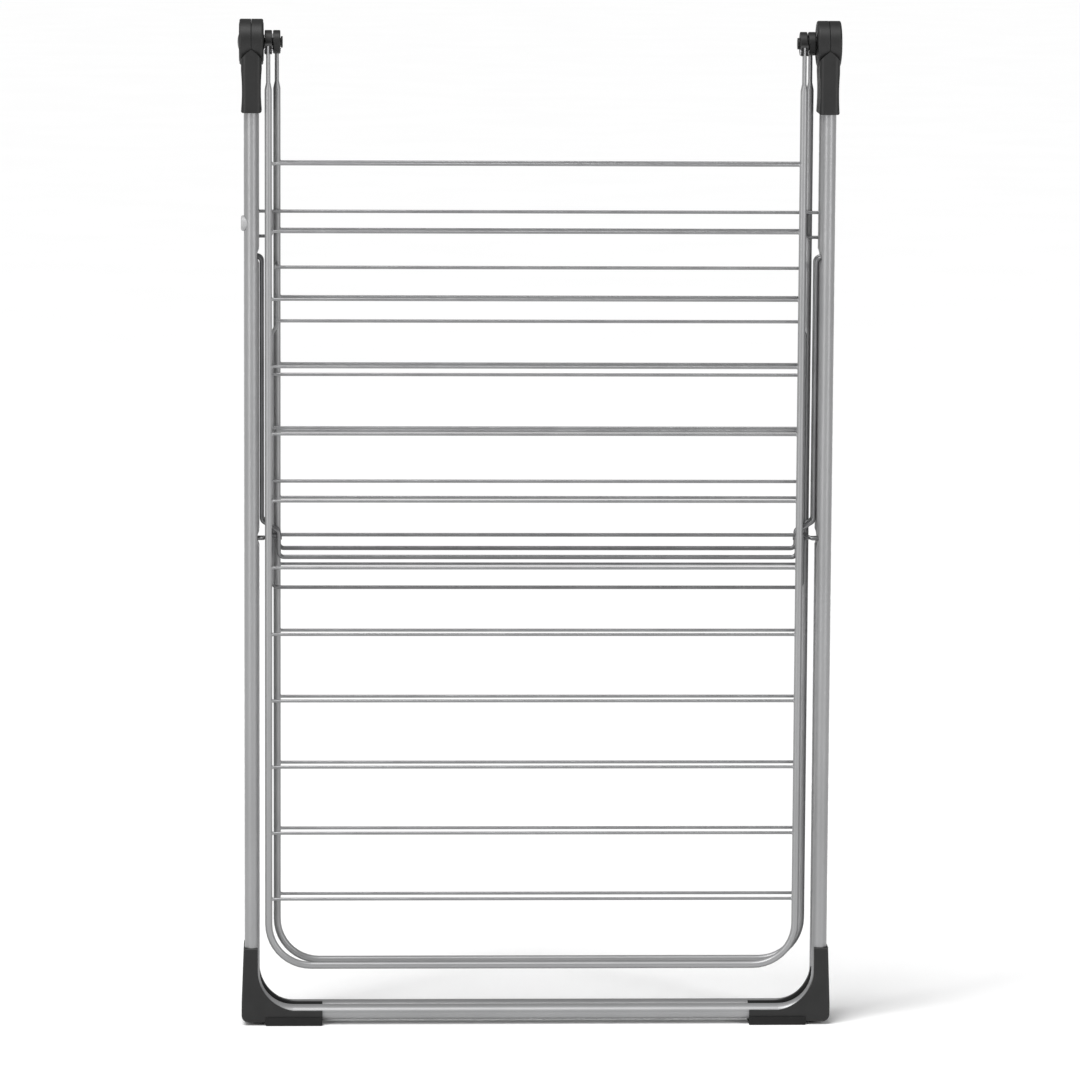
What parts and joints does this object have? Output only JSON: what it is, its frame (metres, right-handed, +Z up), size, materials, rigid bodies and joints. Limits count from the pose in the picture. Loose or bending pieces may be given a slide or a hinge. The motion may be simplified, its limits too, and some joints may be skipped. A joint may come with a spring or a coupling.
{
  "type": "folding drying rack",
  "caption": "Free-standing winged drying rack, folded flat: two hinged leg frames, two lined wings, wire stays and an inner ladder shelf.",
  "frame": {"origin": "on the floor, midway between the four feet", "axes": "+X along the hinge axis to the right, -Y towards the front, +Z up"},
  "size_m": [0.5806, 0.048, 0.978],
  "materials": {
    "lacquered_steel": "silver-grey satin lacquer",
    "black_plastic": "fine matt texture, near black",
    "soft_pad": "soft matt",
    "plated_steel": "zinc plated",
    "black_pin": "moulded cap over a steel pin",
    "grey_button": "light grey"
  },
  "bodies": {
    "hinge_core": {"hinge_pin_left": "black_pin", "hinge_pin_right": "black_pin", "pin_caps": "black_plastic", "spacer_washers": "black_plastic"},
    "front_frame": {"front_leg_tube": "lacquered_steel", "front_hinge_left": "black_plastic", "front_hinge_right": "black_plastic", "front_foot_left": "black_plastic", "front_foot_right": "black_plastic", "front_pad_left": "soft_pad", "front_pad_right": "soft_pad", "leg_button": "grey_button"},
    "rear_frame": {"rear_leg_tube": "lacquered_steel", "rear_hinge_left": "black_plastic", "rear_hinge_right": "black_plastic", "rear_foot_left": "black_plastic", "rear_foot_right": "black_plastic", "rear_pad_left": "soft_pad", "rear_pad_right": "soft_pad", "rear_rung": "lacquered_steel", "hanger_eyelets": "lacquered_steel", "ladder_catches": "lacquered_steel"},
    "front_wing": {"front_wing_tube": "lacquered_steel", "front_wing_rivets": "plated_steel", "front_ring_left": "black_plastic", "front_ring_right": "black_plastic", "front_line_01": "lacquered_steel", "front_line_02": "lacquered_steel", "front_line_03": "lacquered_steel", "front_line_04": "lacquered_steel", "front_line_05": "lacquered_steel", "front_line_06": "lacquered_steel", "front_line_07": "lacquered_steel", "front_line_08": "lacquered_steel", "front_line_09": "lacquered_steel", "front_line_10": "lacquered_steel", "front_line_11": "lacquered_steel", "front_line_12": "lacquered_steel"},
    "rear_wing": {"rear_wing_tube": "lacquered_steel", "rear_wing_rivets": "plated_steel", "rear_ring_left": "black_plastic", "rear_ring_right": "black_plastic", "rear_line_01": "lacquered_steel", "rear_line_02": "lacquered_steel", "rear_line_03": "lacquered_steel", "rear_line_04": "lacquered_steel", "rear_line_05": "lacquered_steel", "rear_line_06": "lacquered_steel", "rear_line_07": "lacquered_steel", "rear_line_08": "lacquered_steel", "rear_line_09": "lacquered_steel", "rear_line_10": "lacquered_steel", "rear_line_11": "lacquered_steel", "rear_line_12": "lacquered_steel"},
    "front_stay": {"front_stay": "lacquered_steel"},
    "rear_stay": {"rear_stay": "lacquered_steel"},
    "ladder": {"ladder_side_wire": "lacquered_steel", "ladder_rungs": "lacquered_steel", "ladder_pivot_rung": "lacquered_steel"}
  },
  "joints": [
    {"name": "front_wing_lift", "type": "hinge", "parent": "hinge_core", "child": "front_wing", "pos_m": [0, 0, 0.956], "axis": [-1, 0, 0], "range_deg": [0, 90]},
    {"name": "rear_wing_lift", "type": "hinge", "parent": "hinge_core", "child": "rear_wing", "pos_m": [0, 0, 0.956], "axis": [1, 0, 0], "range_deg": [0, 90]},
    {"name": "front_leg_spread", "type": "hinge", "parent": "hinge_core", "child": "front_frame", "pos_m": [0, 0, 0.956], "axis": [-1, 0, 0], "range_deg": [0, 15]},
    {"name": "rear_leg_spread", "type": "hinge", "parent": "hinge_core", "child": "rear_frame", "pos_m": [0, 0, 0.956], "axis": [1, 0, 0], "range_deg": [0, 15]},
    {"name": "front_stay_swing", "type": "hinge", "parent": "front_frame", "child": "front_stay", "pos_m": [0, -0.0082, 0.7505], "axis": [-1, 0, 0], "range_deg": [0, 119.7]},
    {"name": "rear_stay_swing", "type": "hinge", "parent": "rear_frame", "child": "rear_stay", "pos_m": [0, 0.0082, 0.7505], "axis": [1, 0, 0], "range_deg": [0, 121.01]},
    {"name": "ladder_drop", "type": "hinge", "parent": "front_frame", "child": "ladder", "pos_m": [0, -0.008, 0.4775], "axis": [-1, 0, 0], "range_deg": [0, 72.85]}
  ],
  "couplings": [
    {"joint": "rear_wing_lift", "follows": "front_wing_lift", "ratio": 1},
    {"joint": "front_leg_spread", "follows": "front_wing_lift", "ratio": 0.16667},
    {"joint": "rear_leg_spread", "follows": "front_wing_lift", "ratio": 0.16667},
    {"joint": "front_stay_swing", "follows": "front_wing_lift", "ratio": 1.33},
    {"joint": "rear_stay_swing", "follows": "front_wing_lift", "ratio": 1.3446},
    {"joint": "ladder_drop", "follows": "front_wing_lift", "ratio": 0.80944}
  ]
}
